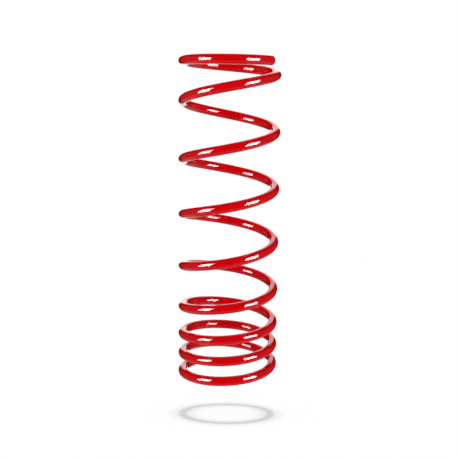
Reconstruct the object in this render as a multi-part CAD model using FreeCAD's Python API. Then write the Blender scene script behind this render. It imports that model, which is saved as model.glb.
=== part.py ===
import FreeCAD, Part
import math
import os

# Coil spring for a car suspension: one round steel bar wound into a right-handed coil.
# The coil stands on +Z, its axis is the Z axis, and the lowest point of the bar is at Z = 0.
# The bar's two ends are sawn square.
# The bar is divided at every quarter turn, because a rigid solid cannot bend, and each
# division is where the bar twists. Millimetres and degrees.

# ---- the bar
bar_diameter = 13.0
bar_radius = bar_diameter / 2

# ---- the coil
mean_coil_diameter = 127.0
coil_radius = mean_coil_diameter / 2
coil_count = 8.52                # turns from the bottom end of the bar to its top end
bottom_end_angle = 141.0         # where the bottom end sits, from +X towards +Y

# ---- the winding: distance between coils, in millimetres of rise for each turn, at a
# number of turns from the bottom end. It changes evenly from one row to the next.
winding = [
    (0.00, 19.0),                # open bottom end, wound a little closer
    (0.80, 30.2),                # close coils
    (1.65, 27.1),
    (2.38, 34.4),                # the coils begin to open
    (4.41, 73.0),
    (7.30, 80.7),                # the widest coil
    (8.30, -2.8),                # closed end coil, whose tip dips a little
    (coil_count, -2.8),
]

# ---- the divisions: at 45, 135, 225 and 315 degrees round the coil
quarter_turn = 0.25
first_division_angle = 225.0
rigid_bottom_pieces = 3          # these rest on the lower seat and do not work
rigid_top_pieces = 2             # these rest on the upper seat and do not work
twist_gap = 0.4                  # room for the bar to twist between two working pieces
side_names = ["left", "front", "right", "back"]

points_per_turn = 16             # how closely the bar's centre line is followed


def pitch_at(turn):
    """Rise of the bar in one turn at this place, in millimetres."""
    for (turn_a, pitch_a), (turn_b, pitch_b) in zip(winding, winding[1:]):
        if turn <= turn_b:
            share = (turn - turn_a) / (turn_b - turn_a)
            return pitch_a + (pitch_b - pitch_a) * share
    return winding[-1][1]


def height_at(turn):
    """Height of the bar's centre line above its bottom end."""
    height = 0.0
    for (turn_a, pitch_a), (turn_b, pitch_b) in zip(winding, winding[1:]):
        upper = min(turn, turn_b)
        if upper > turn_a:
            height += (upper - turn_a) * (pitch_a + pitch_at(upper)) / 2
    return height


def tangent(turn):
    """Direction of the bar at this place, upwards along the coil."""
    angle = math.radians(bottom_end_angle + 360 * turn)
    rise = pitch_at(turn) / (2 * math.pi)
    along = FreeCAD.Vector(-coil_radius * math.sin(angle), coil_radius * math.cos(angle), rise)
    return along.normalize()


def sawn_drop():
    """How far the bar's lowest edge lies below the centre of its square bottom end."""
    return bar_radius * math.hypot(tangent(0).x, tangent(0).y)


def centre(turn):
    """Point on the bar's centre line, with the lowest point of the bar at Z = 0."""
    angle = math.radians(bottom_end_angle + 360 * turn)
    return FreeCAD.Vector(
        coil_radius * math.cos(angle),
        coil_radius * math.sin(angle),
        height_at(turn) + sawn_drop(),
    )


def bar_piece(turn_from, turn_to):
    """A round bar along the coil between two places, with ends square to the bar."""
    steps = math.ceil((turn_to - turn_from) * points_per_turn)
    stops = [turn_from + (turn_to - turn_from) * i / steps for i in range(steps + 1)]
    line = Part.BSplineCurve()
    line.interpolate(
        Points=[centre(turn) for turn in stops],
        InitialTangent=tangent(turn_from),
        FinalTangent=tangent(turn_to),
    )
    section = Part.Wire([Part.Circle(centre(turn_from), tangent(turn_from), bar_radius).toShape()])
    return Part.Wire([line.toShape()]).makePipeShell([section], True, True)


def divisions():
    """Turns at which the bar is divided, from its bottom end to its top end."""
    first = (first_division_angle - bottom_end_angle) / 360
    places = [0.0]
    turn = first
    while turn < coil_count - quarter_turn / 2:
        places.append(turn)
        turn += quarter_turn
    places.append(coil_count)
    return places


os.makedirs("parts", exist_ok=True)

places = divisions()
piece_count = len(places) - 1
gap_in_turns = twist_gap / (math.pi * mean_coil_diameter)

for number in range(piece_count):
    turn_from = places[number]
    turn_to = places[number + 1]
    twists_below = rigid_bottom_pieces <= number <= piece_count - rigid_top_pieces
    twists_above = rigid_bottom_pieces <= number + 1 <= piece_count - rigid_top_pieces
    if twists_below:
        turn_from += gap_in_turns / 2
    if twists_above:
        turn_to -= gap_in_turns / 2
    piece = bar_piece(turn_from, turn_to)
    coil_number = number // len(side_names) + 1
    name = "coil_" + str(coil_number) + "_" + side_names[number % len(side_names)]
    piece.exportStep("parts/" + name + ".step")
    print(name, piece.isValid(), len(piece.Solids), round(piece.Volume, 1))
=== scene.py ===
import bpy
import math
import numpy as np
from mathutils import Matrix, Vector


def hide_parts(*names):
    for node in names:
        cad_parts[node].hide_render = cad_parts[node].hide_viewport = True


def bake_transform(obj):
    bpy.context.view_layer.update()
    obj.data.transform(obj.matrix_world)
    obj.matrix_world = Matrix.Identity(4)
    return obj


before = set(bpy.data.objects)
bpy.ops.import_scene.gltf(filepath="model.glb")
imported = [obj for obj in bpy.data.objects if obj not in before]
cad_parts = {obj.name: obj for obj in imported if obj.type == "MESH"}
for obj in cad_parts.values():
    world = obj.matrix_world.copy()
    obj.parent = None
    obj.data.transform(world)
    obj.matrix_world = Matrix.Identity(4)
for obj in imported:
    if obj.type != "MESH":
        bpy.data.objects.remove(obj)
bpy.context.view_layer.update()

# ------------------------------------------------------------------ dimensions
# The same bar and winding as the CAD part, here in metres.
bar_radius = 0.0065
coil_radius = 0.0635
coil_count = 8.52
bottom_end_angle = math.radians(141.0)
winding = [
    (0.00, 0.0190),
    (0.80, 0.0302),
    (1.65, 0.0271),
    (2.38, 0.0344),
    (4.41, 0.0730),
    (7.30, 0.0807),
    (8.30, -0.0028),
    (coil_count, -0.0028),
]
quarter_turn = 0.25
first_division = (math.radians(225.0) - bottom_end_angle) / (2 * math.pi)
rigid_bottom_pieces = 3
rigid_top_pieces = 2

# The sawn ends are square in the CAD part. Here their edges are deburred and painted over.
end_edge_rounding = 0.0010

# How finely the bar's skin is divided: along a quarter turn, and round the bar.
rings_per_quarter = 44
sides = 40
rings_in_rounding = 5

# How much of the flat map a sawn end takes up, for each metre of it.
end_face_map_scale = 20.0


# ------------------------------------------------------------------ the bar's line
def pitch_at(turn):
    """Rise in one turn at this number of turns from the bottom end."""
    for (turn_a, pitch_a), (turn_b, pitch_b) in zip(winding, winding[1:]):
        if turn <= turn_b:
            share = (turn - turn_a) / (turn_b - turn_a)
            return pitch_a + (pitch_b - pitch_a) * share
    return winding[-1][1]


def height_at(turn):
    """Height of the bar's centre line above its bottom end."""
    height = 0.0
    for (turn_a, pitch_a), (turn_b, pitch_b) in zip(winding, winding[1:]):
        upper = min(turn, turn_b)
        if upper > turn_a:
            height += (upper - turn_a) * (pitch_a + pitch_at(upper)) / 2
    return height


def directions(turn):
    """Along the bar, outwards from the coil's axis, and square to both."""
    angle = bottom_end_angle + 2 * math.pi * turn
    rise = pitch_at(turn) / (2 * math.pi)
    along = np.array([-coil_radius * math.sin(angle), coil_radius * math.cos(angle), rise])
    along /= np.linalg.norm(along)
    outwards = np.array([math.cos(angle), math.sin(angle), 0.0])
    return along, outwards, np.cross(outwards, along)


end_drop = bar_radius * math.hypot(*directions(0.0)[0][:2])


def centre(turn):
    angle = bottom_end_angle + 2 * math.pi * turn
    return np.array([
        coil_radius * math.cos(angle),
        coil_radius * math.sin(angle),
        height_at(turn) + end_drop,
    ])


metres_per_turn = 2 * math.pi * coil_radius


# ------------------------------------------------------------------ materials
def node(tree, kind, **values):
    made = tree.nodes.new(kind)
    for name, value in values.items():
        setattr(made, name, value)
    return made


def red_coating():
    """Gloss red powder coat: smooth and deep, with faint orange peel and small shifts of colour."""
    material = bpy.data.materials.new("red_gloss_coating")
    material.use_nodes = True
    tree = material.node_tree
    shader = tree.nodes["Principled BSDF"]
    link = tree.links.new

    # Each point's place on the bar: round it and along it, the same in every pose.
    place = node(tree, "ShaderNodeAttribute", attribute_name="place_on_bar")

    # Colour: two close reds in soft cloudy patches, as powder builds up unevenly.
    cloud = node(tree, "ShaderNodeTexNoise")
    cloud.inputs["Scale"].default_value = 38.0
    cloud.inputs["Detail"].default_value = 3.0
    link(place.outputs["Vector"], cloud.inputs["Vector"])
    reds = node(tree, "ShaderNodeValToRGB")
    reds.color_ramp.elements[0].position = 0.30
    reds.color_ramp.elements[0].color = (0.660, 0.0008, 0.0030, 1)
    reds.color_ramp.elements[1].position = 0.72
    reds.color_ramp.elements[1].color = (0.730, 0.0012, 0.0042, 1)
    link(cloud.outputs["Fac"], reds.inputs["Fac"])

    # Darker pinholes and specks, few and small.
    speck = node(tree, "ShaderNodeTexVoronoi")
    speck.inputs["Scale"].default_value = 190.0
    link(place.outputs["Vector"], speck.inputs["Vector"])
    speck_size = node(tree, "ShaderNodeMapRange")
    speck_size.inputs["From Min"].default_value = 0.02
    speck_size.inputs["From Max"].default_value = 0.07
    speck_size.inputs["To Min"].default_value = 0.75
    speck_size.inputs["To Max"].default_value = 1.0
    link(speck.outputs["Distance"], speck_size.inputs["Value"])
    specked = node(tree, "ShaderNodeMix", data_type="RGBA", blend_type="MULTIPLY")
    specked.inputs[0].default_value = 1.0
    link(reds.outputs["Color"], specked.inputs[6])
    link(speck_size.outputs["Result"], specked.inputs[7])
    link(specked.outputs[2], shader.inputs["Base Color"])

    # Orange peel: shallow swells a few millimetres across, with a finer ripple on them.
    swell = node(tree, "ShaderNodeTexNoise")
    swell.inputs["Scale"].default_value = 260.0
    swell.inputs["Detail"].default_value = 2.0
    link(place.outputs["Vector"], swell.inputs["Vector"])
    ripple = node(tree, "ShaderNodeTexNoise")
    ripple.inputs["Scale"].default_value = 900.0
    ripple.inputs["Detail"].default_value = 1.0
    link(place.outputs["Vector"], ripple.inputs["Vector"])
    both = node(tree, "ShaderNodeMath", operation="MULTIPLY_ADD")
    both.inputs[1].default_value = 0.25
    link(ripple.outputs["Fac"], both.inputs[0])
    link(swell.outputs["Fac"], both.inputs[2])
    bump = node(tree, "ShaderNodeBump")
    bump.inputs["Strength"].default_value = 0.10
    bump.inputs["Distance"].default_value = 0.0001
    link(both.outputs["Value"], bump.inputs["Height"])
    link(bump.outputs["Normal"], shader.inputs["Normal"])
    link(bump.outputs["Normal"], shader.inputs["Coat Normal"])

    # Roughness under the clear top layer varies with the same patches.
    rough = node(tree, "ShaderNodeMapRange")
    rough.inputs["To Min"].default_value = 0.32
    rough.inputs["To Max"].default_value = 0.46
    link(cloud.outputs["Fac"], rough.inputs["Value"])
    link(rough.outputs["Result"], shader.inputs["Roughness"])
    shader.inputs["Specular IOR Level"].default_value = 0.0
    shader.inputs["Coat Weight"].default_value = 1.0
    shader.inputs["Coat Roughness"].default_value = 0.022
    shader.inputs["Coat IOR"].default_value = 1.6
    return material


coating = red_coating()


# ------------------------------------------------------------------ pieces of bar
def rounding_rings(turn, side):
    """Rings that close a sawn end: (how far back along the bar, radius, lean of the skin)."""
    rings = []
    for step in range(rings_in_rounding + 1):
        lean = math.pi / 2 * step / rings_in_rounding
        back = end_edge_rounding * (1 - math.sin(lean))
        radius = bar_radius - end_edge_rounding * (1 - math.cos(lean))
        rings.append((turn, -side * back, radius, side * lean))
    return rings


def bar_mesh(name, turn_from, turn_to, sawn_start=False, sawn_end=False):
    """The skin of the bar between two places, closed at both ends."""
    count = max(8, round((turn_to - turn_from) / quarter_turn * rings_per_quarter))
    inset = end_edge_rounding / metres_per_turn
    start = turn_from + (inset if sawn_start else 0.0)
    stop = turn_to - (inset if sawn_end else 0.0)
    rings = [(start + (stop - start) * i / count, 0.0, bar_radius, 0.0) for i in range(count + 1)]
    if sawn_start:
        rings = rounding_rings(turn_from, -1)[:0:-1] + rings
    if sawn_end:
        rings = rings + rounding_rings(turn_to, 1)[1:]

    points = []
    normals = []
    places = []
    for turn, shift, radius, lean in rings:
        along, outwards, upwards = directions(turn)
        middle = centre(turn) + along * shift
        distance = turn * metres_per_turn + shift
        for side in range(sides):
            angle = 2 * math.pi * side / sides
            away = outwards * math.cos(angle) + upwards * math.sin(angle)
            points.append(middle + away * radius)
            normals.append(away * math.cos(lean) + along * math.sin(lean))
            places.append((math.cos(angle) * radius, math.sin(angle) * radius, distance))

    faces = []
    for ring in range(len(rings) - 1):
        low = ring * sides
        high = low + sides
        for side in range(sides):
            after = (side + 1) % sides
            faces.append((low + side, high + side, high + after, low + after))
    last = (len(rings) - 1) * sides
    faces.append(tuple(range(sides)))
    faces.append(tuple(reversed(range(last, last + sides))))

    mesh = bpy.data.meshes.new(name)
    mesh.from_pydata([tuple(p) for p in points], [], faces)
    mesh.update()
    mesh.shade_smooth()
    place = mesh.attributes.new("place_on_bar", "FLOAT_VECTOR", "POINT")
    place.data.foreach_set("vector", np.array(places, np.float32).ravel())

    # Length along the bar and place round it, for anything that needs a flat map.
    flat = mesh.uv_layers.new(name="along_and_round")
    loop_normals = []
    length = metres_per_turn * coil_count
    for polygon in mesh.polygons:
        cap = len(polygon.vertices) == sides
        wraps = (not cap) and max(v % sides for v in polygon.vertices) == sides - 1
        for loop in polygon.loop_indices:
            vertex = mesh.loops[loop].vertex_index
            round_share = (vertex % sides) / sides
            if wraps and vertex % sides == 0:
                round_share = 1.0
            x, y, distance = places[vertex]
            if cap:
                flat.data[loop].uv = (0.5 + x * end_face_map_scale, 0.5 + y * end_face_map_scale)
                loop_normals.append(polygon.normal.copy())
            else:
                flat.data[loop].uv = (distance / length, round_share)
                loop_normals.append(Vector(normals[vertex]))
    mesh.normals_split_custom_set(loop_normals)
    mesh.materials.append(coating)

    piece = bpy.data.objects.new(name, mesh)
    bpy.context.collection.objects.link(piece)
    return piece


# ------------------------------------------------------------------ one unbroken bar
# Each piece of skin runs from the middle of one CAD quarter turn to the middle of the
# next, and neighbours meet at the same ring, so the bar never opens.
divisions = [0.0, first_division]
while divisions[-1] + quarter_turn < coil_count - quarter_turn / 2:
    divisions.append(divisions[-1] + quarter_turn)
divisions.append(coil_count)
middles = [(a + b) / 2 for a, b in zip(divisions, divisions[1:])]
side_names = ["left", "front", "right", "back"]
node_names = ["coil_%d_%s" % (i // 4 + 1, side_names[i % 4]) for i in range(len(middles))]

first_working = rigid_bottom_pieces
last_working = len(middles) - rigid_top_pieces - 1

for upper in range(first_working, last_working + 2):
    lower = upper - 1
    is_bottom = upper == first_working
    is_top = upper == last_working + 1
    begins = 0.0 if is_bottom else middles[lower]
    ends = coil_count if is_top else middles[upper]
    name = "bar_end_bottom" if is_bottom else "bar_end_top" if is_top else "bar_" + node_names[lower]
    piece = bar_mesh(name, begins, ends, sawn_start=is_bottom, sawn_end=is_top)

    division = divisions[upper]
    along = directions(division)[0]
    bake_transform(piece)
    if is_bottom:
        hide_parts(*node_names[:upper])
    elif is_top:
        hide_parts(*node_names[lower:])
    else:
        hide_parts(node_names[lower])


# ------------------------------------------------------------------ floor
# White paper well below the spring, falling away a little towards the back. It glows
# evenly, as if lit from all round, and the overhead light adds the rest and its shadow.
floor_height = -0.0585
floor_fall = math.tan(math.radians(11.0))
floor_glow = 0.605
floor_half_width = 14.0


def pale_floor():
    size = floor_half_width
    mesh = bpy.data.meshes.new("floor")
    corners = [(-size, -size), (size, -size), (size, size), (-size, size)]
    heights = [floor_height - y * floor_fall for x, y in corners]
    points = [(x, y, z) for (x, y), z in zip(corners, heights)]
    mesh.from_pydata(points, [], [(0, 1, 2, 3)])
    floor = bpy.data.objects.new("floor", mesh)
    bpy.context.collection.objects.link(floor)
    material = bpy.data.materials.new("white_paper")
    material.use_nodes = True
    shader = material.node_tree.nodes["Principled BSDF"]
    shader.inputs["Base Color"].default_value = (0.10, 0.10, 0.10, 1)
    shader.inputs["Roughness"].default_value = 1.0
    shader.inputs["Specular IOR Level"].default_value = 0.0
    shader.inputs["Emission Color"].default_value = (1, 1, 1, 1)
    shader.inputs["Emission Strength"].default_value = floor_glow
    mesh.materials.append(material)
    floor.visible_glossy = False
    floor.visible_diffuse = False
    return floor


floor = pale_floor()


# ------------------------------------------------------------------ studio
def softbox(name, azimuth, distance, width, bottom, top, radiance):
    """An upright rectangular light beside the camera, mirrored in the gloss."""
    data = bpy.data.lights.new(name, "AREA")
    data.shape = "RECTANGLE"
    data.size = width
    data.size_y = top - bottom
    data.energy = radiance * math.pi * width * (top - bottom)
    lamp = bpy.data.objects.new(name, data)
    bpy.context.collection.objects.link(lamp)
    a = math.radians(azimuth)
    towards = Vector((math.sin(a), -math.cos(a), 0.0))
    lamp.location = towards * distance + Vector((0.0, 0.0, (bottom + top) / 2))
    lamp.rotation_euler = towards.to_track_quat("Z", "Y").to_euler()
    lamp.visible_diffuse = False
    return lamp


softbox("softbox_left", -55.6, 1.0, 0.53, 0.02, 0.86, 18.0)
softbox("softbox_right", 51.0, 1.0, 0.57, 0.02, 0.84, 18.0)

# The overhead light falls on the floor only, where the spring's shadow makes a soft ring.
overhead_width = math.radians(4.5)
overhead_strength = 10.6


def overhead_light(lit_floor):
    data = bpy.data.lights.new("overhead", "SUN")
    data.angle = overhead_width
    data.energy = overhead_strength
    lamp = bpy.data.objects.new("overhead", data)
    bpy.context.collection.objects.link(lamp)
    floor_only = bpy.data.collections.new("floor_only")
    floor_only.objects.link(lit_floor)
    lamp.light_linking.receiver_collection = floor_only


overhead_light(floor)


# The room. The camera sees plain white. The coating's colour is lit softly from all round,
# more from the front than from behind. The gloss mirrors a dim room with paler side walls,
# an overlit white backdrop right behind the spring, and a grey ground.
def white_studio():
    world = bpy.data.worlds.new("white_studio")
    bpy.context.scene.world = world
    world.use_nodes = True
    tree = world.node_tree
    tree.nodes.clear()
    link = tree.links.new
    where = node(tree, "ShaderNodeTexCoord")
    split = node(tree, "ShaderNodeSeparateXYZ")
    link(where.outputs["Generated"], split.inputs["Vector"])

    def fade(source, low, high, bottom, top):
        step = node(tree, "ShaderNodeMapRange", interpolation_type="SMOOTHSTEP")
        step.inputs["From Min"].default_value = low
        step.inputs["From Max"].default_value = high
        step.inputs["To Min"].default_value = bottom
        step.inputs["To Max"].default_value = top
        link(source, step.inputs["Value"])
        return step.outputs["Result"]

    def combine(operation, first, second=None):
        made = node(tree, "ShaderNodeMath", operation=operation)
        link(first, made.inputs[0])
        if second is not None:
            link(second, made.inputs[1])
        return made.outputs["Value"]

    aside = combine("ABSOLUTE", split.outputs["X"])
    from_straight_back = combine("ARCTAN2", aside, split.outputs["Y"])
    backdrop_width = fade(from_straight_back, math.radians(16.5), math.radians(19.5), 1.6, 0.0)
    backdrop_bottom = fade(split.outputs["Z"], -0.44, -0.38, 0.0, 1.0)
    backdrop_top = fade(split.outputs["Z"], 0.45, 0.85, 1.0, 0.10)
    backdrop = combine("MULTIPLY", backdrop_width, combine("MULTIPLY", backdrop_bottom, backdrop_top))
    side_walls = fade(aside, 0.55, 0.90, 0.006, 0.11)
    ground_shade = fade(split.outputs["Y"], -0.80, -0.20, 0.12, 0.42)
    ground_edge = fade(split.outputs["Z"], -0.62, -0.36, 1.0, 0.0)
    under_the_spring = fade(split.outputs["Z"], -0.97, -0.72, 0.5, 1.0)
    ground = combine("MULTIPLY", ground_shade, combine("MULTIPLY", ground_edge, under_the_spring))
    in_gloss = combine("MAXIMUM", backdrop, combine("MAXIMUM", side_walls, ground))

    soft_light = node(tree, "ShaderNodeMapRange")
    soft_light.inputs["From Min"].default_value = -1.0
    soft_light.inputs["From Max"].default_value = 1.0
    soft_light.inputs["To Min"].default_value = 1.12
    soft_light.inputs["To Max"].default_value = 0.34
    link(split.outputs["Y"], soft_light.inputs["Value"])

    path = node(tree, "ShaderNodeLightPath")
    by_ray = node(tree, "ShaderNodeMix", data_type="FLOAT")
    link(path.outputs["Is Glossy Ray"], by_ray.inputs[0])
    link(soft_light.outputs["Result"], by_ray.inputs[2])
    link(in_gloss, by_ray.inputs[3])
    to_camera = node(tree, "ShaderNodeMix", data_type="FLOAT")
    link(path.outputs["Is Camera Ray"], to_camera.inputs[0])
    link(by_ray.outputs[0], to_camera.inputs[2])
    to_camera.inputs[3].default_value = 1.0
    background = node(tree, "ShaderNodeBackground")
    background.inputs["Color"].default_value = (1, 1, 1, 1)
    link(to_camera.outputs[0], background.inputs["Strength"])
    output = node(tree, "ShaderNodeOutputWorld")
    link(background.outputs["Background"], output.inputs["Surface"])


white_studio()

scene = bpy.context.scene
scene.view_settings.view_transform = "Standard"
scene.view_settings.look = "None"

# ------------------------------------------------------------------ camera
camera_distance = 1.1017
camera_height = 0.4057
camera_aside = 0.0008
camera_tilt = 0.1732
camera_roll = 0.0096
lens_per_width = 1.7522


def studio_camera():
    """A camera at the photograph's viewing angle."""
    camera_data = bpy.data.cameras.new("camera")
    camera_data.sensor_fit = "HORIZONTAL"
    camera_data.sensor_width = 36.0
    camera_data.lens = 36.0 * lens_per_width
    camera = bpy.data.objects.new("camera", camera_data)
    bpy.context.collection.objects.link(camera)
    ahead = Vector((0.0, math.cos(camera_tilt), -math.sin(camera_tilt)))
    above = Vector((0.0, math.sin(camera_tilt), math.cos(camera_tilt)))
    sideways = Vector((1.0, 0.0, 0.0))
    right = sideways * math.cos(camera_roll) + above * math.sin(camera_roll)
    upright = above * math.cos(camera_roll) - sideways * math.sin(camera_roll)
    turned = Matrix((right, upright, -ahead)).transposed().to_4x4()
    turned.translation = Vector((camera_aside, -camera_distance, camera_height))
    camera.matrix_world = turned
    return camera


scene.camera = studio_camera()

bpy.context.view_layer.update()
